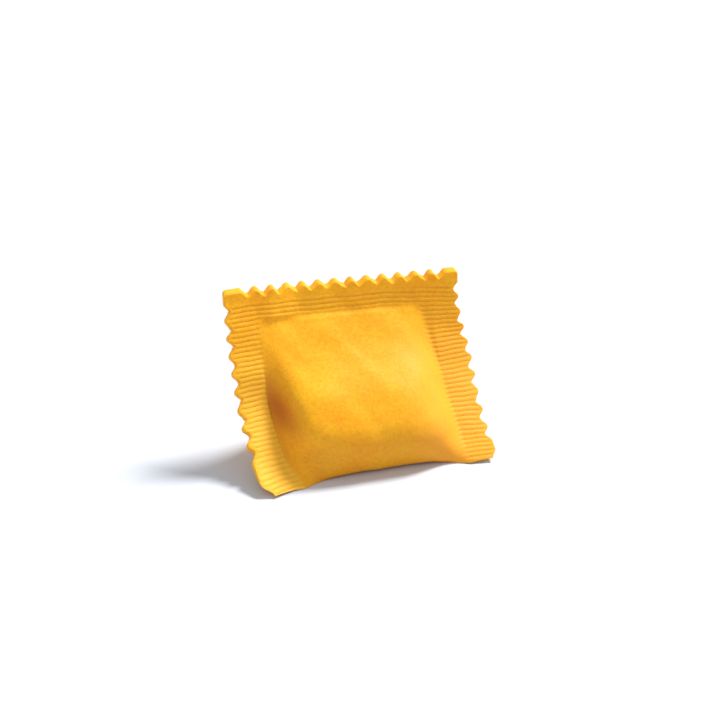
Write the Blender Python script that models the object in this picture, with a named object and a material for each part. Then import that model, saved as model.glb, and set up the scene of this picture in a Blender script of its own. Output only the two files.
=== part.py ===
"""A raviolo: one filled pasta square with toothed edges, resting on the flat underside of its filling.

Metres, +Z up. The width runs along X, the shown face looks towards -Y and the square leans back
towards +Y. The origin is on the ground, under the middle of the model's box.

The square is worked out as it was cut, flat: u runs across it and v runs up it, from the bottom edge.
Each point of the flat square is then taken to its place on the front or on the back of the raviolo.
"""
import math

import bmesh
import bpy

MM = 0.001

# The flat square, as the cutter leaves it.
WIDTH = 50.0 * MM
HEIGHT = 42.7 * MM
BORDER = 6.6 * MM
BORDER_THICKNESS = 2.2 * MM

# The teeth of the cut: small ones between two valleys each, and a broad one at each corner.
TOP_TEETH = 12
TOP_PITCH = 3.42 * MM
TOP_TOOTH_DEPTH = 1.2 * MM
LEFT_CORNER = 5.05 * MM
SIDE_TEETH = 9
SIDE_PITCH = 3.6 * MM
SIDE_TOOTH_DEPTH = 1.0 * MM
BOTTOM_CORNER = 5.7 * MM
TOP_ROUNDING = 0.45 * MM
LEFT_ROUNDING = 2.0 * MM
RIGHT_ROUNDING = 1.0 * MM
TOP_SLANT = 0.8 * MM
TOOTH_REACH = 3.2 * MM
UNEVEN_TEETH = 0.16
UNEVEN_STEP = 2.4
TIP_LEVEL = 0.12
CORNER_RUN_OUT = 0.45
TOOTH_STOPS = (0.0, 0.32, 0.5, 0.68)
CORNER_STOPS = (0.4, 0.88, 1.0)

# The lean of the side borders: flatter near the ground, steeper above the bend, and steeper still
# at the top edge. Pressing the border has made it a little shorter than the flat square.
LOW_SLOPE = math.radians(44.0)
HIGH_SLOPE = math.radians(62.0)
TOP_CURL = math.radians(10.0)
BEND_START = 6.0 * MM
BEND_END = 33.0 * MM
SLOPE_STEP = 0.25 * MM
BORDER_SHRINK = 0.978

# The dried square is a little out of true.
SKEW = 2.2 * MM
TWIST_AT_BOTTOM = -1.1 * MM
TWIST_AT_TOP = 1.4 * MM
BOW = 0.75 * MM
LEFT_FLARE = 1.9 * MM
LEFT_FLARE_FADE = 0.6
LEFT_RISE = 1.8 * MM
LEFT_RISE_START = 8.0 * MM
LEFT_RISE_END = 16.0 * MM
RISE_FOOT = 17.0 * MM
RISE_TOP = 26.0 * MM
FOOT_FLARE = 2.2 * MM
FOOT_START = 13.0 * MM
FOOT_TOP = 10.0 * MM
FOOT_CUT = 0.9 * MM
FOOT_CUT_START = 15.0 * MM
FOOT_CUT_END = 23.0 * MM
END_PULL = 0.55 * MM
END_PULL_LEVEL = 0.6
LIFTED_CORNER = 0.9 * MM
LIFT_REACH = 9.0 * MM
RIGHT_FLARE = 2.2 * MM
RIGHT_FLARE_START = 6.0 * MM
RIGHT_FLARE_TOP = 22.0 * MM
RIGHT_TURN = 2.0 * MM
RIGHT_SWELL = 0.4 * MM
RIGHT_WAVE = 0.45 * MM
WAVE_MIDDLE = 28.0 * MM
WAVE_HALF = 14.0 * MM

# The pocket that holds the filling. A fuller side has a steeper wall and a broader middle.
POCKET_HALF_WIDTH = 18.5 * MM
POCKET_TOP = HEIGHT - BORDER
POCKET_CLOSING = 1.5 * MM
FRONT_CORNER = 2.6 * MM
BACK_CORNER = 9.0 * MM
LEFT_SPREAD = -2.0 * MM
LEFT_SPREAD_TOP = 6.0 * MM
RIGHT_SPREAD = 1.0 * MM
RIGHT_SPREAD_TOP = 18.0 * MM
RIGHT_TAPER = 1.9 * MM
RIGHT_TAPER_START = 20.0 * MM
RIGHT_TAPER_END = 34.0 * MM
LEFT_FULLNESS = 6.0
LEFT_END_FULLNESS = 2.5
LEFT_FULL_FROM = 7.0 * MM
LEFT_FULL_RISE = 7.0 * MM
LEFT_FULL_TO = 17.0 * MM
LEFT_FULL_FALL = 9.0 * MM
RIGHT_FULLNESS = 4.8
RIGHT_SOFTNESS = 0.5
BACK_FULLNESS = 3.0
DENT_PLACE = (-17.0 * MM, 17.5 * MM)
DENT_SIZE = (2.2 * MM, 6.0 * MM)
DENT_DEPTH = 2.4 * MM
DENT_START = 0.3

# Middle line of the front, from the edge on the ground up to the top of the pocket: v, y, z.
FRONT_LINE = (
    (0.0, 2.3, 0.0),
    (1.5, 1.1, 0.8),
    (3.2, 0.4, 2.1),
    (5.0, -0.1, 3.7),
    (7.0, -0.4, 5.4),
    (8.8, -0.4, 7.3),
    (10.4, 0.1, 9.0),
    (12.0, 1.0, 10.8),
    (14.6, 3.1, 13.5),
    (17.8, 5.7, 16.1),
    (21.2, 8.8, 18.2),
    (25.0, 12.4, 20.3),
    (28.7, 15.5, 22.4),
    (31.6, 17.9, 24.5),
    (34.0, 19.8, 26.2),
    (36.1, 21.4, 27.8),
)

# Middle line of the back: flat on the ground, then up the rear of the filling to the pocket's top.
REST_START = 5.6 * MM
REST_LENGTH = 11.0 * MM
BACK_LINE = (
    (11.0, 16.6, 0.0),
    (14.0, 19.9, 1.4),
    (17.5, 22.7, 4.7),
    (21.5, 24.4, 9.6),
    (25.5, 24.8, 14.7),
    (30.0, 24.1, 20.1),
    (33.6, 23.4, 24.3),
    (36.1, 23.4, 26.9),
)


def eased(step):
    """0 below 0, 1 above 1 and smooth between."""
    step = min(max(step, 0.0), 1.0)
    return step * step * (3.0 - 2.0 * step)


def point_on_line(line, v):
    """The (y, z) of a smooth curve through the line's points, at height v of the flat square."""
    knots = [row[0] * MM for row in line]
    last = len(line) - 1
    v = min(max(v, knots[0]), knots[last])
    i = max(k for k in range(last) if knots[k] <= v or k == 0)
    span = knots[i + 1] - knots[i]
    t = (v - knots[i]) / span

    def slope(k, axis):
        before, after = max(k - 1, 0), min(k + 1, last)
        return (line[after][axis] - line[before][axis]) * MM / (knots[after] - knots[before])

    def along(axis):
        start, end = line[i][axis] * MM, line[i + 1][axis] * MM
        bend_in, bend_out = slope(i, axis) * span, slope(i + 1, axis) * span
        return (
            (2 * t**3 - 3 * t**2 + 1) * start
            + (t**3 - 2 * t**2 + t) * bend_in
            + (3 * t**2 - 2 * t**3) * end
            + (t**3 - t**2) * bend_out
        )

    return along(1), along(2)


def border_slope(v):
    """Angle of the side border above the ground."""
    bend = (HIGH_SLOPE - LOW_SLOPE) * eased((v - BEND_START) / (BEND_END - BEND_START))
    return LOW_SLOPE + bend + TOP_CURL * eased((v - BEND_END) / (HEIGHT - BEND_END))


def border_front(v):
    """The (y, z) of the side border's front face, walked up from the ground."""
    steps = max(1, math.ceil(v / SLOPE_STEP))
    step = v / steps
    y = z = 0.0
    for k in range(steps):
        angle = border_slope((k + 0.5) * step)
        y += math.cos(angle) * step * BORDER_SHRINK
        z += math.sin(angle) * step * BORDER_SHRINK
    return y, z


def border_back(v):
    """The (y, z) of the side border's back face, cut off level with the ground."""
    cut = BORDER_THICKNESS / math.tan(LOW_SLOPE)
    along = v + cut * (1.0 - min(v / (3.0 * cut), 1.0))
    y, z = border_front(along)
    angle = border_slope(along)
    y += BORDER_THICKNESS * math.sin(angle)
    z -= BORDER_THICKNESS * math.cos(angle)
    return y, max(z, 0.0)


def pocket_edge(u, v):
    """Half width of the pocket on this side, at this height."""
    if u < 0.0:
        return POCKET_HALF_WIDTH + LEFT_SPREAD * max(0.0, 1.0 - v / LEFT_SPREAD_TOP)
    half = POCKET_HALF_WIDTH + RIGHT_SPREAD * max(0.0, 1.0 - v / RIGHT_SPREAD_TOP)
    taper = (v - RIGHT_TAPER_START) / (RIGHT_TAPER_END - RIGHT_TAPER_START)
    return half - RIGHT_TAPER * max(0.0, taper)


def pocket(u, v, fullness, corner):
    """0 on the border, rising over the pocket's rounded walls to 1 along its middle."""
    above = min(max(v - (POCKET_TOP - corner), 0.0), corner)
    half = pocket_edge(u, v) - (corner - math.sqrt(corner**2 - above**2))
    closing = eased((POCKET_TOP - v) / POCKET_CLOSING)
    return max(0.0, 1.0 - abs(u / half) ** fullness) * closing


def dent(u, v):
    """How far the left wall of the pocket is pressed in."""
    across = (u - DENT_PLACE[0]) / DENT_SIZE[0]
    up = (v - DENT_PLACE[1]) / DENT_SIZE[1]
    return DENT_DEPTH * math.exp(-across * across - up * up)


def outward(u, start):
    """0 up to the start, rising to 1 at the side edge."""
    return max(0.0, u - start) / (WIDTH / 2 - start)


def raised(u, v, y, z):
    """The upper left border stands a little proud, nearly level with the pocket beside it."""
    beside = eased((-u - LEFT_RISE_START) / (LEFT_RISE_END - LEFT_RISE_START))
    rise = LEFT_RISE * beside * eased((v - RISE_FOOT) / (RISE_TOP - RISE_FOOT))
    return y - math.sin(border_slope(v)) * rise, z + math.cos(border_slope(v)) * rise


def placed(u, v, y, z):
    """The point of the raviolo, with the square's skew, bow, twist, turned edges and lifted corner."""
    side = u / (WIDTH / 2)
    up = v / HEIGHT
    x = u - SKEW * (up - 0.5) - side * END_PULL * ((2.0 * up - 1.0) ** 2 - END_PULL_LEVEL)
    x -= BOW * 4.0 * up * (1.0 - up)
    if abs(v - WAVE_MIDDLE) < WAVE_HALF:
        wave = math.sin(math.pi * (WAVE_MIDDLE - v) / WAVE_HALF)
        x += RIGHT_WAVE * outward(u, POCKET_HALF_WIDTH) * wave
    y -= side * (TWIST_AT_BOTTOM + (TWIST_AT_TOP - TWIST_AT_BOTTOM) * up)
    y -= LEFT_FLARE * outward(-u, POCKET_HALF_WIDTH) * (1.0 - LEFT_FLARE_FADE * up)
    y -= FOOT_FLARE * outward(-u, FOOT_START) * eased(1.0 - v / FOOT_TOP)
    y -= RIGHT_FLARE * outward(u, RIGHT_FLARE_START) * max(0.0, 1.0 - v / RIGHT_FLARE_TOP)
    turned = outward(u, POCKET_HALF_WIDTH) * math.sin(math.pi * min(max(up, 0.0), 1.0)) ** 2
    x += RIGHT_SWELL * turned
    y += RIGHT_TURN * turned
    from_corner = math.hypot(WIDTH / 2 - u, v) / LIFT_REACH
    z += LIFTED_CORNER * eased(1.0 - from_corner)
    return x, y, z


def front_fullness(u, v):
    """How full this side of the front is. The left wall is steepest beside the dent."""
    if u > 0.0:
        return RIGHT_FULLNESS
    rise = eased((v - LEFT_FULL_FROM) / LEFT_FULL_RISE)
    fall = eased((v - LEFT_FULL_TO) / LEFT_FULL_FALL)
    return LEFT_END_FULLNESS + (LEFT_FULLNESS - LEFT_END_FULLNESS) * rise * (1.0 - fall)


def front_point(u, v):
    """A point of the front face. The right wall runs out softly on the border."""
    y, z = raised(u, v, *border_front(v))
    middle_y, middle_z = point_on_line(FRONT_LINE, v)
    softness = RIGHT_SOFTNESS * min(max(u / POCKET_HALF_WIDTH, 0.0), 1.0)
    share = pocket(u, v, front_fullness(u, v), FRONT_CORNER) ** (1.0 + softness)
    pressed_in = share**DENT_START * dent(u, v)
    y += share * (middle_y - y) + math.sin(LOW_SLOPE) * pressed_in
    z += share * (middle_z - z) - math.cos(LOW_SLOPE) * pressed_in
    return placed(u, v, y, z)


def back_point(u, v):
    """A point of the back face, flat on the ground under the filling."""
    y, z = raised(u, v, *border_back(v))
    if v <= REST_LENGTH:
        middle_y, middle_z = REST_START + v, 0.0
    else:
        middle_y, middle_z = point_on_line(BACK_LINE, v)
    share = pocket(u, v, BACK_FULLNESS, BACK_CORNER)
    return placed(u, v, y + share * (middle_y - y), z + share * (middle_z - z))


def stops(length, teeth, pitch, first_valley):
    """Places of the grid lines along one edge: the valleys, the teeth between them and the corners."""
    last_valley = first_valley + teeth * pitch
    places = [first_valley * (1.0 - share) for share in reversed(CORNER_STOPS)]
    for tooth in range(teeth):
        places += [first_valley + (tooth + share) * pitch for share in TOOTH_STOPS]
    places.append(last_valley)
    places += [last_valley + (length - last_valley) * share for share in CORNER_STOPS]
    return places


def valley(place, pitch, first_valley, last_valley):
    """How deep the cutter goes at this place of an edge: 1 in each valley, 0 at each tip."""
    beside = max(first_valley - place, place - last_valley)
    if beside > 0.0:
        return eased(1.0 - beside / (CORNER_RUN_OUT * pitch))
    along = (place - first_valley) / pitch
    tooth = math.floor(along)
    uneven = 1.0 + UNEVEN_TEETH * math.sin(UNEVEN_STEP * tooth)
    from_tip = 2.0 * abs(along - tooth - 0.5)
    return eased(TIP_LEVEL + (1.0 - TIP_LEVEL) * from_tip) * uneven


def rounding(to_end, amount):
    """How far the broad corner tooth is rounded off at this distance from the edge's end."""
    return amount * eased(1.0 - to_end / (2.0 * amount))


def slanted(v):
    """The front's height, lowered near the top, because the cut of the top edge slants forwards."""
    near_top = max(0.0, 1.0 - (HEIGHT - v) / TOOTH_REACH)
    return v - TOP_SLANT * near_top**2


def toothed(u, v):
    """The flat point moved in from the toothed edges near it. The left side lacks the lowest valley."""
    across = u + WIDTH / 2
    lowest = BOTTOM_CORNER if u > 0.0 else BOTTOM_CORNER + SIDE_PITCH
    highest = BOTTOM_CORNER + SIDE_TEETH * SIDE_PITCH
    side_cut = SIDE_TOOTH_DEPTH * valley(v, SIDE_PITCH, lowest, highest)
    side_cut += rounding(HEIGHT - v, TOP_ROUNDING)
    side_cut += rounding(v, RIGHT_ROUNDING if u > 0.0 else LEFT_ROUNDING)
    rightmost = LEFT_CORNER + TOP_TEETH * TOP_PITCH
    top_cut = TOP_TOOTH_DEPTH * valley(across, TOP_PITCH, LEFT_CORNER, rightmost)
    top_cut += rounding(WIDTH / 2 - abs(u), TOP_ROUNDING)
    near_side = max(0.0, 1.0 - (WIDTH / 2 - abs(u)) / TOOTH_REACH)
    near_top = max(0.0, 1.0 - (HEIGHT - v) / TOOTH_REACH)
    near_bottom = max(0.0, 1.0 - v / TOOTH_REACH)
    foot_cut = FOOT_CUT * eased((-u - FOOT_CUT_START) / (FOOT_CUT_END - FOOT_CUT_START))
    v += foot_cut * near_bottom - top_cut * near_top
    return u - math.copysign(side_cut * near_side, u), v


def square_grid(columns, rows):
    """A flat grid of faces from -1 to 1, with one vertex for each crossing."""
    mesh = bmesh.new()
    bmesh.ops.create_grid(mesh, x_segments=columns - 1, y_segments=rows - 1, size=1.0)
    return mesh


def raviolo_mesh():
    """The front face, extruded to the back face, with every point taken to its place."""
    u_stops = [place - WIDTH / 2 for place in stops(WIDTH, TOP_TEETH, TOP_PITCH, LEFT_CORNER)]
    v_stops = stops(HEIGHT, SIDE_TEETH, SIDE_PITCH, BOTTOM_CORNER)
    mesh = square_grid(len(u_stops), len(v_stops))
    front_verts = mesh.verts[:]
    extruded = bmesh.ops.extrude_face_region(mesh, geom=mesh.faces[:])["geom"]
    back_verts = [piece for piece in extruded if isinstance(piece, bmesh.types.BMVert)]

    def flat_place(vert):
        column = round((vert.co.x + 1.0) / 2.0 * (len(u_stops) - 1))
        row = round((vert.co.y + 1.0) / 2.0 * (len(v_stops) - 1))
        return toothed(u_stops[column], v_stops[row])

    for vert in front_verts:
        u, v = flat_place(vert)
        vert.co = front_point(u, slanted(v))
    for vert in back_verts:
        vert.co = back_point(*flat_place(vert))
    bmesh.ops.recalc_face_normals(mesh, faces=mesh.faces)
    return mesh


def centre_on_ground(mesh):
    """Moves the mesh so that its box stands on the ground, centred on the origin."""
    low = [min(vert.co[axis] for vert in mesh.verts) for axis in range(3)]
    high = [max(vert.co[axis] for vert in mesh.verts) for axis in range(3)]
    shift = (-(low[0] + high[0]) / 2, -(low[1] + high[1]) / 2, -low[2])
    bmesh.ops.translate(mesh, vec=shift, verts=mesh.verts)


def pasta_dough():
    """Raw egg dough, matt and floury."""
    material = bpy.data.materials.new("pasta_dough")
    material.use_nodes = True
    shader = material.node_tree.nodes["Principled BSDF"]
    shader.inputs["Base Color"].default_value = (0.93, 0.55, 0.09, 1.0)
    shader.inputs["Roughness"].default_value = 0.6
    shader.inputs["Metallic"].default_value = 0.0
    return material


def make_raviolo():
    """The whole raviolo, one closed solid."""
    mesh = raviolo_mesh()
    centre_on_ground(mesh)
    data = bpy.data.meshes.new("raviolo")
    mesh.to_mesh(data)
    mesh.free()
    data.shade_smooth()
    data.set_sharp_from_angle(angle=math.radians(50.0))
    data.materials.append(pasta_dough())
    raviolo = bpy.data.objects.new("raviolo", data)
    bpy.context.scene.collection.objects.link(raviolo)
    return raviolo


for old in list(bpy.data.objects):
    bpy.data.objects.remove(old)
make_raviolo()
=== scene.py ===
import math

import bpy
import numpy as np
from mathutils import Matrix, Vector


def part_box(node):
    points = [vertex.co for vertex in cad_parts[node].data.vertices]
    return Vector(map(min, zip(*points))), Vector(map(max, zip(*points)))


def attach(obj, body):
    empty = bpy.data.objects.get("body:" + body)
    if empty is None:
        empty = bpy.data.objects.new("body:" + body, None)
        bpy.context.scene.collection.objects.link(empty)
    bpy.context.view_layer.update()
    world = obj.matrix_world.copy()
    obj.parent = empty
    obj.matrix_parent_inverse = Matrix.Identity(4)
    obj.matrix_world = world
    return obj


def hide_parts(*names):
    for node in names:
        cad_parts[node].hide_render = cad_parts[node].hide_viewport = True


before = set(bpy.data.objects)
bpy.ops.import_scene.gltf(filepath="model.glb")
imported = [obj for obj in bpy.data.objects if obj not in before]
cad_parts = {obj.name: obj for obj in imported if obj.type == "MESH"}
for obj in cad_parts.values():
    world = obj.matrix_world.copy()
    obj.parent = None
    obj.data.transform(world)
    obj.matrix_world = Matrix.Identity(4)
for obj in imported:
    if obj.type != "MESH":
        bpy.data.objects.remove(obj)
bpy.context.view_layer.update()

MM = 0.001

# The dough square, laid out flat: two thin sheets of egg dough pressed together round the filling
# and cut out with a toothed wheel, so small teeth run along the top and both sides and a broad one
# is left at each corner. The bottom edge is the fold, which the wheel doesn't cut.
WIDTH = 50.0 * MM
HEIGHT = 42.7 * MM
COLUMNS = 152
ROWS = 294
LAYERS = 6
EDGE_CROWDING = 0.4
TOP_TEETH = 12
TOP_PITCH = 3.42 * MM
TOP_TOOTH_DEPTH = 1.2 * MM
LEFT_CORNER = 5.05 * MM
SIDE_TEETH = 9
SIDE_PITCH = 3.6 * MM
SIDE_TOOTH_DEPTH = 1.0 * MM
BOTTOM_CORNER = 5.7 * MM
TOP_ROUNDING = 0.2 * MM
LEFT_ROUNDING = 2.0 * MM
RIGHT_ROUNDING = 1.0 * MM
TOOTH_REACH = 3.2 * MM
FOOT_CUT = 0.9 * MM

bpy.ops.object.select_all(action="DESELECT")
bpy.ops.mesh.primitive_grid_add(x_subdivisions=COLUMNS, y_subdivisions=ROWS, size=1.0)
raviolo = bpy.context.object
raviolo.name = "raviolo_dough"
bpy.ops.object.mode_set(mode="EDIT")
bpy.ops.mesh.select_all(action="SELECT")
for layer in range(LAYERS):
    bpy.ops.mesh.extrude_region_move(TRANSFORM_OT_translate={"value": (0.0, 0.0, 1.0 / LAYERS)})
bpy.ops.object.mode_set(mode="OBJECT")

places = np.empty(3 * len(raviolo.data.vertices))
raviolo.data.vertices.foreach_get("co", places)
places = places.reshape(-1, 3)
column = np.rint((places[:, 0] + 0.5) * COLUMNS).astype(int)
row = np.rint((places[:, 1] + 0.5) * ROWS).astype(int)
layer = np.rint(places[:, 2] * LAYERS).astype(int)


def eased(step):
    step = np.clip(step, 0.0, 1.0)
    return step * step * (3.0 - 2.0 * step)


def valley(place, pitch, first, last):
    along = (place - first) / pitch
    tooth = np.floor(along)
    uneven = 1.0 + 0.16 * np.sin(2.4 * tooth)
    from_tip = 2.0 * np.abs(along - tooth - 0.5)
    inside = (0.6 * eased(from_tip) + 0.4 * eased(eased(from_tip))) * uneven
    beside = np.maximum(first - place, place - last)
    return np.where(beside > 0.0, eased(1.0 - beside / (0.45 * pitch)), inside)


def rounding(to_end, amount):
    return amount * eased(1.0 - to_end / (2.0 * amount))


across = np.linspace(-1.0, 1.0, COLUMNS + 1)
across = WIDTH / 2 * (across + EDGE_CROWDING * np.sin(math.pi * across) / math.pi)
upward = np.linspace(0.0, HEIGHT, ROWS + 1)
u, v = np.meshgrid(across, upward)
lowest = np.where(u > 0.0, BOTTOM_CORNER, BOTTOM_CORNER + SIDE_PITCH)
highest = BOTTOM_CORNER + SIDE_TEETH * SIDE_PITCH
side_cut = SIDE_TOOTH_DEPTH * valley(v, SIDE_PITCH, lowest, highest)
side_cut += rounding(HEIGHT - v, TOP_ROUNDING) + rounding(v, np.where(u > 0.0, RIGHT_ROUNDING, LEFT_ROUNDING))
from_left = u + WIDTH / 2
top_cut = TOP_TOOTH_DEPTH * valley(from_left, TOP_PITCH, LEFT_CORNER, LEFT_CORNER + TOP_TEETH * TOP_PITCH)
top_cut += rounding(WIDTH / 2 - np.abs(u), TOP_ROUNDING)
near_side = np.clip(1.0 - (WIDTH / 2 - np.abs(u)) / TOOTH_REACH, 0.0, 1.0)
near_top = np.clip(1.0 - (HEIGHT - v) / TOOTH_REACH, 0.0, 1.0)
u = u - np.sign(u) * side_cut * near_side
v = v - top_cut * near_top
near_bottom = np.clip(1.0 - v / TOOTH_REACH, 0.0, 1.0)
v = v + FOOT_CUT * eased((-u - 15.0 * MM) / (8.0 * MM)) * near_bottom

# The raviolo's form: the square is bent up from the ground like a bowl's wall, the filling swells the
# pocket out to the front and, less, to the back, and the soft dough rests on a flat of its own weight.
# The sheet is 2 mm thick at the border, where both layers are pressed into one.
BORDER = 6.6 * MM
BORDER_THICKNESS = 2.2 * MM
BORDER_SHRINK = 0.978
LOW_SLOPE = math.radians(44.0)
HIGH_SLOPE = math.radians(62.0)
TOP_CURL = math.radians(10.0)
BEND_START = 6.0 * MM
BEND_END = 33.0 * MM
BOW = 0.75 * MM
SKEW = 2.2 * MM
TWIST_AT_BOTTOM = -1.1 * MM
TWIST_AT_TOP = 1.4 * MM
LEFT_FLARE = 1.9 * MM
LEFT_FLARE_FADE = 0.6
LEFT_RISE = 1.8 * MM
LEFT_RISE_START = 8.0 * MM
LEFT_RISE_END = 16.0 * MM
RISE_FOOT = 17.0 * MM
RISE_TOP = 26.0 * MM
FOOT_FLARE = 2.2 * MM
FOOT_START = 13.0 * MM
FOOT_TOP = 10.0 * MM
END_PULL = 0.55 * MM
LIFTED_CORNER = 0.9 * MM
LIFT_REACH = 9.0 * MM
RIGHT_FLARE = 2.2 * MM
RIGHT_FLARE_START = 6.0 * MM
RIGHT_FLARE_TOP = 22.0 * MM
RIGHT_TURN = 2.0 * MM
RIGHT_SWELL = 0.4 * MM
RIGHT_WAVE = 0.45 * MM
WAVE_MIDDLE = 28.0 * MM
WAVE_HALF = 14.0 * MM
POCKET_HALF_WIDTH = 18.5 * MM
POCKET_TOP = HEIGHT - BORDER
FRONT_CORNER = 2.6 * MM
BACK_CORNER = 9.0 * MM
POCKET_CLOSING = 1.5 * MM
LEFT_SPREAD = -2.0 * MM
LEFT_SPREAD_TOP = 6.0 * MM
RIGHT_SPREAD = 1.0 * MM
RIGHT_SPREAD_TOP = 18.0 * MM
RIGHT_TAPER = 1.9 * MM
RIGHT_TAPER_START = 20.0 * MM
RIGHT_TAPER_END = 34.0 * MM
LEFT_FULLNESS = 6.0
LEFT_END_FULLNESS = 2.5
LEFT_FULL_FROM = 7.0 * MM
LEFT_FULL_RISE = 7.0 * MM
LEFT_FULL_TO = 17.0 * MM
LEFT_FULL_FALL = 9.0 * MM
RIGHT_FULLNESS = 4.8
RIGHT_SOFTNESS = 0.5
BACK_FULLNESS = 3.0
DENT_PLACE = (-17.0 * MM, 17.5 * MM)
DENT_SIZE = (2.2 * MM, 6.0 * MM)
DENT_DEPTH = 2.4 * MM
FRONT_LINE = (
    (0.0, 2.3, 0.0),
    (1.5, 1.1, 0.8),
    (3.2, 0.4, 2.1),
    (5.0, -0.1, 3.7),
    (7.0, -0.4, 5.4),
    (8.8, -0.4, 7.3),
    (10.4, 0.1, 9.0),
    (12.0, 1.0, 10.8),
    (14.6, 3.1, 13.5),
    (17.8, 5.7, 16.1),
    (21.2, 8.8, 18.2),
    (25.0, 12.4, 20.3),
    (28.7, 15.5, 22.4),
    (31.6, 17.9, 24.5),
    (34.0, 19.8, 26.2),
    (36.1, 21.4, 27.8),
)
BACK_LINE = (
    (0.0, 5.6, 0.0),
    (5.5, 11.1, 0.0),
    (11.0, 16.6, 0.0),
    (14.0, 19.9, 1.4),
    (17.5, 22.7, 4.7),
    (21.5, 24.4, 9.6),
    (25.5, 24.8, 14.7),
    (30.0, 24.1, 20.1),
    (33.6, 23.4, 24.3),
    (36.1, 23.4, 26.9),
)


def smooth_line(line, v):
    knots, y, z = (np.array(line) * MM).T

    def through(values):
        slopes = np.gradient(values, knots)
        slopes[1:-1] = (values[2:] - values[:-2]) / (knots[2:] - knots[:-2])
        i = np.clip(np.searchsorted(knots, v, side="right") - 1, 0, len(knots) - 2)
        span = knots[i + 1] - knots[i]
        t = np.clip((v - knots[i]) / span, 0.0, 1.0)
        start = (2 * t**3 - 3 * t**2 + 1) * values[i] + (t**3 - 2 * t**2 + t) * span * slopes[i]
        return start + (3 * t**2 - 2 * t**3) * values[i + 1] + (t**3 - t**2) * span * slopes[i + 1]

    return through(y), through(z)


def border_slope(v):
    bend = (HIGH_SLOPE - LOW_SLOPE) * eased((v - BEND_START) / (BEND_END - BEND_START))
    return LOW_SLOPE + bend + TOP_CURL * eased((v - BEND_END) / (HEIGHT - BEND_END))


walk = np.linspace(0.0, HEIGHT + 4.0 * MM, 2000)
pace = BORDER_SHRINK * (walk[1] - walk[0])
walk_y = np.concatenate([[0.0], np.cumsum(np.cos(border_slope(walk[:-1])) * pace)])
walk_z = np.concatenate([[0.0], np.cumsum(np.sin(border_slope(walk[:-1])) * pace)])


def pocket_edge(u, v):
    left = POCKET_HALF_WIDTH + LEFT_SPREAD * np.maximum(0.0, 1.0 - v / LEFT_SPREAD_TOP)
    right = POCKET_HALF_WIDTH + RIGHT_SPREAD * np.maximum(0.0, 1.0 - v / RIGHT_SPREAD_TOP)
    right = right - RIGHT_TAPER * np.maximum(0.0, (v - RIGHT_TAPER_START) / (RIGHT_TAPER_END - RIGHT_TAPER_START))
    return np.where(u < 0.0, left, right)


def pocket(u, v, fullness, corner):
    above = np.clip(v - (POCKET_TOP - corner), 0.0, corner)
    half = pocket_edge(u, v) - (corner - np.sqrt(corner**2 - above**2))
    closing = eased((POCKET_TOP - v) / POCKET_CLOSING)
    return np.maximum(0.0, 1.0 - np.abs(u / half) ** fullness) * closing


def outward(u, start):
    return np.maximum(0.0, u - start) / (WIDTH / 2 - start)


def raised(u, v, y, z):
    beside = eased((-u - LEFT_RISE_START) / (LEFT_RISE_END - LEFT_RISE_START))
    rise = LEFT_RISE * beside * eased((v - RISE_FOOT) / (RISE_TOP - RISE_FOOT))
    return y - np.sin(border_slope(v)) * rise, z + np.cos(border_slope(v)) * rise


def placed(u, v, y, z):
    side = u / (WIDTH / 2)
    up = v / HEIGHT
    x = u - SKEW * (up - 0.5) - side * END_PULL * ((2.0 * up - 1.0) ** 2 - 0.6)
    x = x - BOW * 4.0 * up * (1.0 - up)
    turned = outward(u, POCKET_HALF_WIDTH) * np.sin(math.pi * np.clip(up, 0.0, 1.0)) ** 2
    x = x + RIGHT_SWELL * turned
    y = y + RIGHT_TURN * turned
    wave = np.sin(math.pi * (WAVE_MIDDLE - v) / WAVE_HALF) * (np.abs(v - WAVE_MIDDLE) < WAVE_HALF)
    x = x + RIGHT_WAVE * outward(u, POCKET_HALF_WIDTH) * wave
    y = y - side * (TWIST_AT_BOTTOM + (TWIST_AT_TOP - TWIST_AT_BOTTOM) * up)
    y = y - LEFT_FLARE * outward(-u, POCKET_HALF_WIDTH) * (1.0 - LEFT_FLARE_FADE * up)
    y = y - FOOT_FLARE * outward(-u, FOOT_START) * eased(1.0 - v / FOOT_TOP)
    y = y - RIGHT_FLARE * outward(u, RIGHT_FLARE_START) * np.maximum(0.0, 1.0 - v / RIGHT_FLARE_TOP)
    z = z + LIFTED_CORNER * eased(1.0 - np.hypot(WIDTH / 2 - u, v) / LIFT_REACH)
    return np.stack([x, y, z], axis=-1)


def front_fullness(u, v):
    steep = eased((v - LEFT_FULL_FROM) / LEFT_FULL_RISE) * eased(1.0 - (v - LEFT_FULL_TO) / LEFT_FULL_FALL)
    return np.where(u > 0.0, RIGHT_FULLNESS, LEFT_END_FULLNESS + (LEFT_FULLNESS - LEFT_END_FULLNESS) * steep)


def front_face(u, v):
    middle_y, middle_z = smooth_line(FRONT_LINE, v)
    y, z = raised(u, v, np.interp(v, walk, walk_y), np.interp(v, walk, walk_z))
    softness = RIGHT_SOFTNESS * np.clip(u / POCKET_HALF_WIDTH, 0.0, 1.0)
    share = pocket(u, v, front_fullness(u, v), FRONT_CORNER) ** (1.0 + softness)
    from_dent = ((u - DENT_PLACE[0]) / DENT_SIZE[0]) ** 2 + ((v - DENT_PLACE[1]) / DENT_SIZE[1]) ** 2
    pressed_in = share**0.3 * DENT_DEPTH * np.exp(-from_dent)
    y = y + share * (middle_y - y) + math.sin(LOW_SLOPE) * pressed_in
    z = z + share * (middle_z - z) - math.cos(LOW_SLOPE) * pressed_in
    return placed(u, v, y, z)


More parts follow.
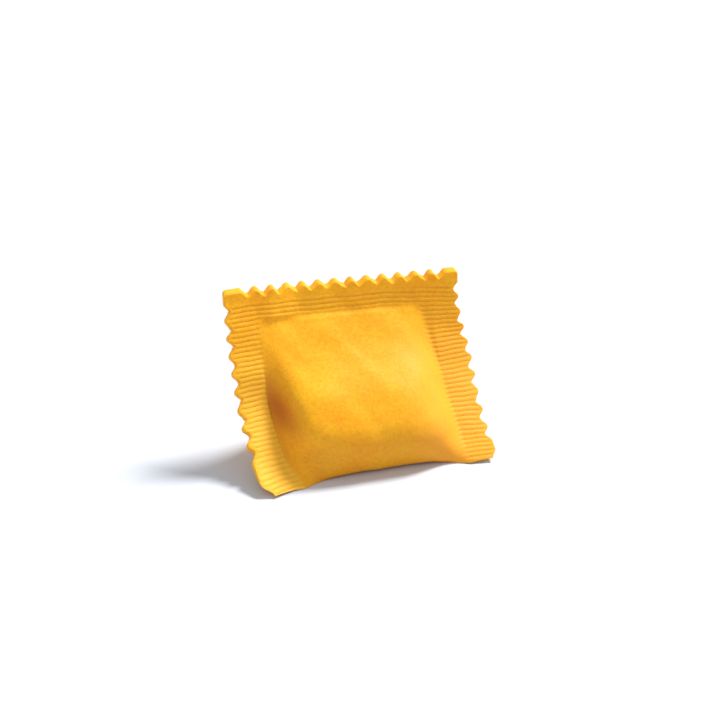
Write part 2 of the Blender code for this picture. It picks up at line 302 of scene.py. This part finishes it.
def back_face(u, v):
    cut_level = BORDER_THICKNESS / math.tan(LOW_SLOPE)
    along = v + cut_level * (1.0 - np.minimum(v / (3.0 * cut_level), 1.0))
    y = np.interp(along, walk, walk_y) + BORDER_THICKNESS * np.sin(border_slope(along))
    z = np.interp(along, walk, walk_z) - BORDER_THICKNESS * np.cos(border_slope(along))
    y, z = raised(u, v, y, np.maximum(z, 0.0))
    middle_y, middle_z = smooth_line(BACK_LINE, v)
    middle_z = np.maximum(middle_z, 0.0)
    share = pocket(u, v, BACK_FULLNESS, BACK_CORNER)
    return placed(u, v, y + share * (middle_y - y), z + share * (middle_z - z))


# The ribs and the skin of the dough: the roller presses fine round ribs into the border, side by side
# across its whole width. They run out on the pocket, just short of the tooth tips and a little below
# the top edge. The skin between is faintly uneven, as raw dough is.
RIB_PITCH = HEIGHT / 42
RIB_HEIGHT = 0.16 * MM
RIB_END = 1.1 * MM
RIB_TOP = 39.8 * MM
RIB_LEAN = 0.09
RIB_WOBBLE = 0.05 * MM
# Width of the painted shade in the crease on the left of the pocket.
CREASE_WIDTH = 0.9 * MM
# Where the painted shade lies: a patch in the dent on the left, and a line along the belly's underside.
FOLD_PLACE = (-16.9 * MM, 17.5 * MM)
FOLD_SIZE = (2.2 * MM, 6.0 * MM)
FOLD_LEAN = 0.15
FOLD_SHADE_SHARE = 0.85
UNDERSIDE_HEIGHT = 1.1 * MM
# The painted light on the ribbed border, fading out towards the top.
LIT_BORDER_SHARE = 0.8
LIT_BORDER_TOP = 34.0 * MM
SKIN_WAVES = ((0.06 * MM, 410.0, 290.0, 0.4), (0.05 * MM, -330.0, 520.0, 2.1), (0.03 * MM, 900.0, 760.0, 1.2))


def outward_normal(surface):
    along_u = np.gradient(surface, axis=1)
    along_v = np.gradient(surface, axis=0)
    normal = np.cross(along_u, along_v)
    return normal / np.linalg.norm(normal, axis=-1, keepdims=True)


def ribbed(u, v, side_cut):
    half = pocket_edge(u, v)
    reach = np.where(u > 0.0, 0.7 + 0.9 * ridge(u, v), 0.4 + 0.7 * ridge(u, v)) * MM
    beside_pocket = eased((np.abs(u) - half + reach) / (1.0 * MM))
    above_pocket = eased((v - POCKET_TOP + 0.8 * MM) / (1.0 * MM))
    from_edge = np.clip((WIDTH / 2 - side_cut - np.abs(u)) / RIB_END, 0.0, 1.0)
    from_top = np.clip((RIB_TOP - v) / RIB_END, 0.0, 1.0)
    return np.maximum(beside_pocket, above_pocket) * eased(from_edge) * eased(from_top)


def ridge(u, v):
    wobble = RIB_WOBBLE * (np.sin(700.0 * u + 310.0 * v) + 0.7 * np.sin(1500.0 * u - 900.0 * v + 1.0))
    along = v + RIB_LEAN * np.maximum(0.0, u - 10.0 * MM) + wobble
    return np.abs(np.sin(math.pi * along / RIB_PITCH)) ** 0.6


# How strong the painted shade in the rib grooves is: weaker towards the lower left, full at the upper right.
def groove_shade_strength(u, v):
    return 0.55 + 0.45 * eased(0.5 + u / WIDTH) * eased(2.0 * v / HEIGHT)


def unevenness(u, v):
    return sum(size * np.sin(a * u + b * v + start + np.sin(0.6 * b * u)) for size, a, b, start in SKIN_WAVES)


# Painted shade in the crease along the left edge of the pocket, between about 8 and 27 mm up.
def crease_shade(u, v):
    half = pocket_edge(u, v)
    beside = np.exp(-(((np.abs(u) - half + 0.5 * CREASE_WIDTH) / CREASE_WIDTH) ** 2)) * (u < 0.0) * (-u < half)
    return 0.6 * beside * eased((27.0 * MM - v) / (10.0 * MM)) * eased(v / (8.0 * MM))


LEVELS = (0.0, 0.03, 0.1, 0.5, 0.9, 0.97, 1.0)
LEVEL_INSETS = (0.2 * MM, 0.06 * MM, 0.0, 0.0, 0.0, 0.06 * MM, 0.2 * MM)
TOP_SLANT = 0.8 * MM
shaped = np.empty_like(places)
for level in range(LAYERS + 1):
    inset_u = u - np.sign(u) * LEVEL_INSETS[level] * near_side**4
    inset_v = v - (LEVEL_INSETS[level] + TOP_SLANT * (1.0 - LEVELS[level])) * near_top**2
    front = front_face(inset_u, inset_v)
    relief = RIB_HEIGHT * ribbed(inset_u, inset_v, side_cut) * (ridge(u, v) - 0.8) + unevenness(u, v)
    front = front + relief[..., None] * outward_normal(front)
    surface = front + (back_face(inset_u, inset_v) - front) * LEVELS[level]
    here = layer == level
    shaped[here] = surface[row[here], column[here]]

low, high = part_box("raviolo")
middle = (shaped.min(axis=0) + shaped.max(axis=0)) / 2
to_place = np.array([(low.x + high.x) / 2 - middle[0], (low.y + high.y) / 2 - middle[1], 0.0])
shaped += to_place
shaped[:, 2] = np.maximum(shaped[:, 2], 0.0)
raviolo.data.vertices.foreach_set("co", shaped.ravel())
raviolo.data.update()

bpy.ops.object.mode_set(mode="EDIT")
bpy.ops.mesh.select_all(action="SELECT")
bpy.ops.mesh.normals_make_consistent(inside=False)
bpy.ops.object.mode_set(mode="OBJECT")
bpy.ops.object.shade_smooth_by_angle(angle=math.radians(38.0))

# Painted shade: the grooves between the ribs are darkened beyond their relief, and the crease on the left of the
# pocket too.
groove_shade_share = np.maximum(ribbed(u, v, side_cut) * (1.0 - ridge(u, v)) * groove_shade_strength(u, v), crease_shade(u, v))
groove_shade = raviolo.data.attributes.new("groove_shade", "FLOAT", "POINT")
groove_shade.data.foreach_set("value", np.where(layer == 0, groove_shade_share[row, column], 0.0))

# Painted light: the ribbed border gets a paler, brighter yellow, strongest low down on the left and weak on the
# right.
lit_border = ribbed(u, v, side_cut)
lit_border_attribute = raviolo.data.attributes.new("lit_border", "FLOAT", "POINT")
lit_border = LIT_BORDER_SHARE * lit_border * eased((LIT_BORDER_TOP - v) / (0.5 * LIT_BORDER_TOP)) * np.where(u > 0.0, 0.2, 1.0)
lit_border_attribute.data.foreach_set("value", np.where(layer == 0, lit_border[row, column], 0.0))
# Painted shade: a red-brown patch in the dent on the left, a dark line along the belly's underside at the ground, a
# darker lower belly, and darker cut faces on the left teeth.
from_fold = ((u - FOLD_PLACE[0] - FOLD_LEAN * (FOLD_PLACE[1] - v)) / FOLD_SIZE[0]) ** 2
from_fold = from_fold + ((v - FOLD_PLACE[1]) / FOLD_SIZE[1]) ** 2
painted_shade = raviolo.data.attributes.new("painted_shade", "FLOAT", "POINT")
painted_shade_share = FOLD_SHADE_SHARE * np.exp(-from_fold) * eased((pocket_edge(u, v) - np.abs(u)) / (0.5 * MM) + 0.5)
under_shade = 0.9 * np.exp(-((v / UNDERSIDE_HEIGHT) ** 2)) * eased((pocket_edge(u, v) - 1.0 * MM - np.abs(u)) / (6.0 * MM))
low_belly_shade = 0.25 * eased((13.0 * MM - v) / (5.0 * MM)) * eased((pocket_edge(u, v) - np.abs(u)) / (6.0 * MM))
rim_shade = 0.45 * near_side**9 * eased(side_cut / SIDE_TOOTH_DEPTH) * (u < 0.0) * eased((v - 8.0 * MM) / (6.0 * MM))
painted_shade_share = np.maximum.reduce([painted_shade_share, under_shade, low_belly_shade, rim_shade])
painted_shade.data.foreach_set("value", np.where(layer == 0, painted_shade_share[row, column], 0.0))

# Painted shade and painted sheen: the sunlit right side of the belly and border is toned down and made paler.
right_shade = raviolo.data.attributes.new("right_shade", "FLOAT", "POINT")
right_shade_share = 0.9 * eased((u - 4.0 * MM) / (12.0 * MM)) * eased((36.0 * MM - v) / (14.0 * MM))
right_shade.data.foreach_set("value", np.where(layer == 0, right_shade_share[row, column], 0.0))

ORANGE_DOUGH = (0.97, 0.44, 0.011, 1.0)
YELLOW_DOUGH = (0.98, 0.50, 0.015, 1.0)
# Painted shade and sheen on the sunlit right side.
RIGHT_SHADE_DOUGH = (0.96, 0.41, 0.028, 1.0)
# Painted shade for the dent, the underside, the lower belly and the left teeth's cut faces.
PAINTED_SHADE_DOUGH = (0.50, 0.12, 0.014, 1.0)
# Painted shade for the rib grooves and the left crease.
GROOVE_SHADE_DOUGH = (0.74, 0.31, 0.015, 1.0)
# Painted light on the ribbed border.
LIT_BORDER_DOUGH = (0.97, 0.54, 0.045, 1.0)
PALE_FLECK = (1.0, 1.0, 1.0, 1.0)
DARK_FLECK = (0.90, 0.78, 0.55, 1.0)
dough = bpy.data.materials.new("egg_dough")
dough.use_nodes = True
nodes, links = dough.node_tree.nodes, dough.node_tree.links
shader = nodes["Principled BSDF"]
shader.inputs["Roughness"].default_value = 0.55
shader.inputs["Specular IOR Level"].default_value = 0.2
shader.inputs["Subsurface Weight"].default_value = 0.15
shader.inputs["Subsurface Radius"].default_value = (1.0, 0.45, 0.12)
shader.inputs["Subsurface Scale"].default_value = 1.2 * MM
dough_place = nodes.new("ShaderNodeTexCoord")


def dough_noise(scale, detail, roughness):
    noise = nodes.new("ShaderNodeTexNoise")
    noise.inputs["Scale"].default_value = scale
    noise.inputs["Detail"].default_value = detail
    noise.inputs["Roughness"].default_value = roughness
    links.new(dough_place.outputs["Object"], noise.inputs["Vector"])
    return noise.outputs["Fac"]


def dough_ramp(value, low, low_colour, high, high_colour):
    ramp = nodes.new("ShaderNodeValToRGB")
    ramp.color_ramp.elements[0].position = low
    ramp.color_ramp.elements[0].color = low_colour
    ramp.color_ramp.elements[1].position = high
    ramp.color_ramp.elements[1].color = high_colour
    links.new(value, ramp.inputs["Fac"])
    return ramp.outputs["Color"]


def dough_mix(blend, factor, first, second):
    mix = nodes.new("ShaderNodeMix")
    mix.data_type = "RGBA"
    mix.blend_type = blend
    links.new(first, mix.inputs[6])
    links.new(second, mix.inputs[7])
    if isinstance(factor, float):
        mix.inputs[0].default_value = factor
    else:
        links.new(factor, mix.inputs[0])
    return mix.outputs[2]


patches = dough_ramp(dough_noise(75.0, 3.0, 0.55), 0.36, ORANGE_DOUGH, 0.62, YELLOW_DOUGH)
flecks = dough_ramp(dough_noise(1300.0, 4.0, 0.75), 0.34, DARK_FLECK, 0.60, PALE_FLECK)
flecked = dough_mix("MULTIPLY", 1.0, patches, flecks)
# The painted shade and sheen of the right side is mixed in.
right_shades = nodes.new("ShaderNodeAttribute")
right_shades.attribute_name = "right_shade"
right_shade_colour = nodes.new("ShaderNodeRGB")
right_shade_colour.outputs[0].default_value = RIGHT_SHADE_DOUGH
right_shaded = dough_mix("MIX", right_shades.outputs["Fac"], flecked, right_shade_colour.outputs[0])
# The painted shade of the rib grooves and the left crease is mixed in.
groove_shades = nodes.new("ShaderNodeAttribute")
groove_shades.attribute_name = "groove_shade"
groove_shade_colour = nodes.new("ShaderNodeRGB")
groove_shade_colour.outputs[0].default_value = GROOVE_SHADE_DOUGH
# The painted light on the ribbed border is mixed in.
lit_borders = nodes.new("ShaderNodeAttribute")
lit_borders.attribute_name = "lit_border"
lit_border_colour = nodes.new("ShaderNodeRGB")
lit_border_colour.outputs[0].default_value = LIT_BORDER_DOUGH
lit_bordered = dough_mix("MIX", lit_borders.outputs["Fac"], right_shaded, lit_border_colour.outputs[0])
groove_shaded = dough_mix("MIX", groove_shades.outputs["Fac"], lit_bordered, groove_shade_colour.outputs[0])
# The painted shade of the dent, the underside, the lower belly and the left cut faces is mixed in last.
painted_shades = nodes.new("ShaderNodeAttribute")
painted_shades.attribute_name = "painted_shade"
painted_shade_colour = nodes.new("ShaderNodeRGB")
painted_shade_colour.outputs[0].default_value = PAINTED_SHADE_DOUGH
links.new(dough_mix("MIX", painted_shades.outputs["Fac"], groove_shaded, painted_shade_colour.outputs[0]), shader.inputs["Base Color"])
grain = nodes.new("ShaderNodeBump")
grain.inputs["Strength"].default_value = 0.8
grain.inputs["Distance"].default_value = 0.08 * MM
links.new(dough_noise(1900.0, 3.0, 0.6), grain.inputs["Height"])
links.new(grain.outputs["Normal"], shader.inputs["Normal"])
raviolo.data.materials.clear()
raviolo.data.materials.append(dough)

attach(raviolo, "root")
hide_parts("raviolo")

# The table top: a plain white sheet that the raviolo lies on.
FLOOR_SIZE = 6.0
bpy.ops.object.select_all(action="DESELECT")
bpy.ops.mesh.primitive_plane_add(size=FLOOR_SIZE, location=(0.0, 0.0, -0.05 * MM))
floor = bpy.context.object
floor.name = "white_table"
paper = bpy.data.materials.new("white_paper")
paper.use_nodes = True
paper.node_tree.nodes["Principled BSDF"].inputs["Base Color"].default_value = (0.63, 0.66, 0.71, 1.0)
paper.node_tree.nodes["Principled BSDF"].inputs["Roughness"].default_value = 0.9
paper.node_tree.nodes["Principled BSDF"].inputs["Specular IOR Level"].default_value = 0.0
floor.data.materials.append(paper)

# The light: a broad soft lamp from the right and a little behind, and white walls all round.
SUN_STRENGTH = 4.1
SUN_WIDTH = math.radians(14.0)
WALL_STRENGTH = 0.64
to_light = Vector((0.68, 0.30, 1.0)).normalized()
bpy.ops.object.light_add(type="SUN", location=to_light)
key = bpy.context.object
key.name = "key_light"
key.data.energy = SUN_STRENGTH
key.data.angle = SUN_WIDTH
key.rotation_euler = to_light.to_track_quat("Z", "Y").to_euler()
world = bpy.data.worlds.new("white_room")
world.use_nodes = True
world.node_tree.nodes["Background"].inputs["Color"].default_value = (0.96, 0.97, 1.0, 1.0)
world.node_tree.nodes["Background"].inputs["Strength"].default_value = WALL_STRENGTH
bpy.context.scene.world = world
bpy.context.scene.view_settings.view_transform = "Standard"

# The camera looks a little down on the shown face, from its left.
AZIMUTH = math.radians(-15.0)
ELEVATION = math.radians(28.0)
DISTANCE = 0.360
LENS = 87.5
back_way = Vector((
    math.sin(AZIMUTH) * math.cos(ELEVATION),
    -math.cos(AZIMUTH) * math.cos(ELEVATION),
    math.sin(ELEVATION),
))
right_way = Vector((math.cos(AZIMUTH), math.sin(AZIMUTH), 0.0))
up_way = back_way.cross(right_way)
aim = Vector(to_place) + Vector((0.0, 10.0 * MM, 15.0 * MM)) + up_way * 5.30 * MM - right_way * 0.29 * MM
bpy.ops.object.camera_add(location=aim + back_way * DISTANCE)
camera = bpy.context.object
camera.rotation_euler = back_way.to_track_quat("Z", "Y").to_euler()
camera.data.lens = LENS
camera.data.clip_start = 0.01
bpy.context.scene.camera = camera
